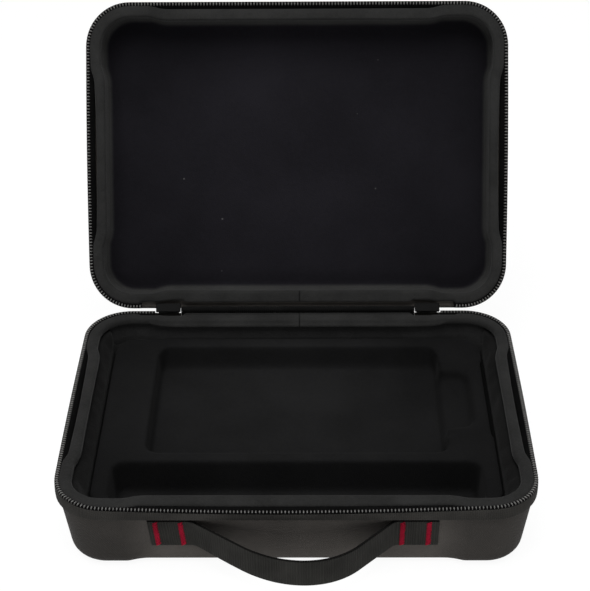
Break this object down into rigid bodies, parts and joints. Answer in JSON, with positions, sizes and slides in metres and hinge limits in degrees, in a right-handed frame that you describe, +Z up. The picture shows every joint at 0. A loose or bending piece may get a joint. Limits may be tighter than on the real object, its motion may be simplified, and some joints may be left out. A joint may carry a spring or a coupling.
{
  "type": "zip hard case",
  "caption": "Moulded zip case standing open, with a cloth-hinged lid, padded rim, formed inner tray and a webbing handle.",
  "frame": {"origin": "centre of the flat underside of the base", "axes": "X along the hinge, -Y towards the handle, +Z up"},
  "size_m": [0.3388, 0.4208, 0.2824],
  "materials": {
    "shell_cloth": "fine woven nylon moulded over foam",
    "lining_cloth": "matt brushed cloth",
    "lid_velvet": "short velvet",
    "roll_cloth": "stretch cloth over soft padding",
    "tray_velvet": "short velvet over a formed sheet",
    "zip_tape": "woven polyester tape",
    "zip_teeth": "nylon coil",
    "slider_metal": "gloss black enamel",
    "webbing": "ribbed webbing",
    "stitch_thread": "crimson thread"
  },
  "bodies": {
    "base": {"base_shell": "shell_cloth", "base_lining": "lining_cloth", "base_wall_liner": "lining_cloth", "base_rim_roll": "roll_cloth", "base_zip_tape": "zip_tape", "base_zip_teeth": "zip_teeth", "inner_tray": "tray_velvet", "tray_ring": "lining_cloth", "hinge_tape": "zip_tape", "handle_left_tab": "webbing", "handle_right_tab": "webbing", "handle_left_root": "webbing", "handle_right_root": "webbing", "handle_stitching": "stitch_thread"},
    "lid": {"lid_shell": "shell_cloth", "lid_lining": "lid_velvet", "lid_rim_roll": "roll_cloth", "lid_zip_tape": "zip_tape", "lid_zip_teeth": "zip_teeth", "lid_tape_ends": "zip_tape"},
    "handle": {"handle_grip": "webbing"},
    "left_slider": {"left_slider": "slider_metal"},
    "right_slider": {"right_slider": "slider_metal"},
    "left_pull": {"left_pull": "slider_metal"},
    "right_pull": {"right_pull": "slider_metal"}
  },
  "joints": [
    {"name": "lid_hinge", "type": "hinge", "parent": "base", "child": "lid", "pos_m": [0, 0.124, 0.062], "axis": [1, 0, 0], "range_deg": [0, 117], "deforming": ["hinge_tape", "lid_tape_ends"]},
    {"name": "handle_lift", "type": "hinge", "parent": "base", "child": "handle", "pos_m": [0, -0.1176, 0.046], "axis": [-1, 0, 0], "range_deg": [0, 60], "deforming": ["handle_left_root", "handle_right_root"]},
    {"name": "left_slider_run", "type": "slide", "parent": "base", "child": "left_slider", "axis": [-1, 0, 0], "range_m": [0, 0.012]},
    {"name": "left_pull_swing", "type": "hinge", "parent": "left_slider", "child": "left_pull", "pos_m": [-0.105, 0.12729, 0.05663], "axis": [1, 0, 0], "range_deg": [0, 45]},
    {"name": "right_slider_run", "type": "slide", "parent": "base", "child": "right_slider", "axis": [1, 0, 0], "range_m": [0, 0.012]},
    {"name": "right_pull_swing", "type": "hinge", "parent": "right_slider", "child": "right_pull", "pos_m": [0.105, 0.12729, 0.05663], "axis": [1, 0, 0], "range_deg": [0, 45]}
  ]
}
